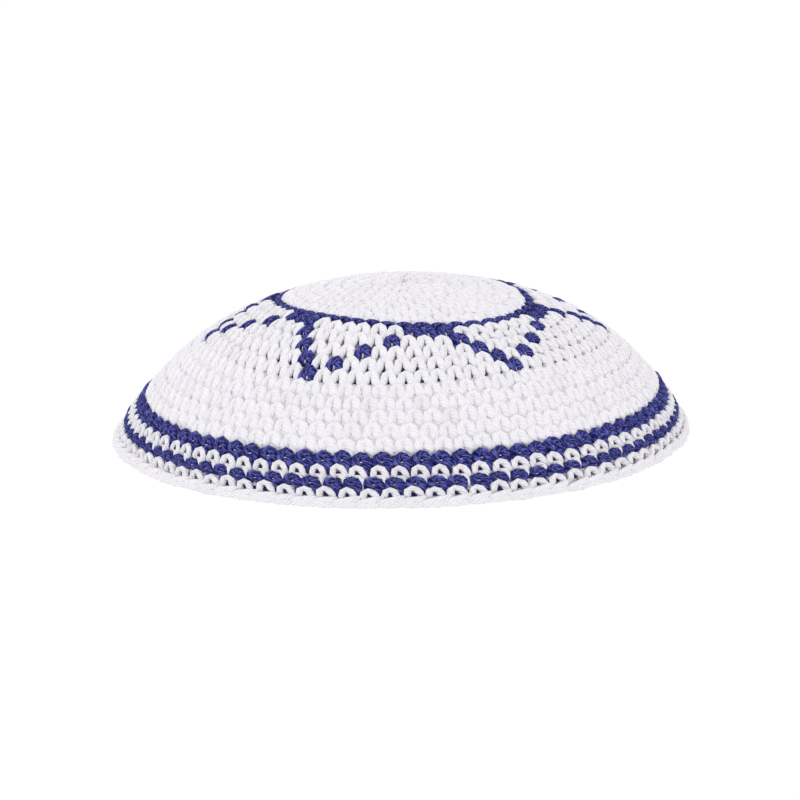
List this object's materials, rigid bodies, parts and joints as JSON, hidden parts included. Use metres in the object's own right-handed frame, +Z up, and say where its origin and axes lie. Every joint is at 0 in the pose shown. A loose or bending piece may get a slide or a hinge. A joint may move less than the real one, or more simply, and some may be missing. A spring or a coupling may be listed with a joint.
{
  "type": "crocheted skullcap",
  "caption": "Crocheted cotton skullcap: a shallow white dome with a blue ring, a blue star figure and blue stripes above its rim.",
  "frame": {"origin": "middle of the rim, on the surface that the cap rests on", "axes": "+Z up through the crown, -Y towards the viewer of the picture, +X to the viewer's right"},
  "size_m": [0.17, 0.1698, 0.0446],
  "materials": {
    "white_cotton": "plied white cotton yarn, matt",
    "blue_cotton": "plied royal blue cotton yarn, matt"
  },
  "bodies": {
    "root": {"crown_disc": "white_cotton", "crown_ring": "blue_cotton", "star_band": "white_cotton", "side_band": "white_cotton", "upper_stripe": "blue_cotton", "middle_round": "white_cotton", "lower_stripe": "blue_cotton", "rim_round": "white_cotton", "edge_chain": "white_cotton"}
  },
  "joints": []
}
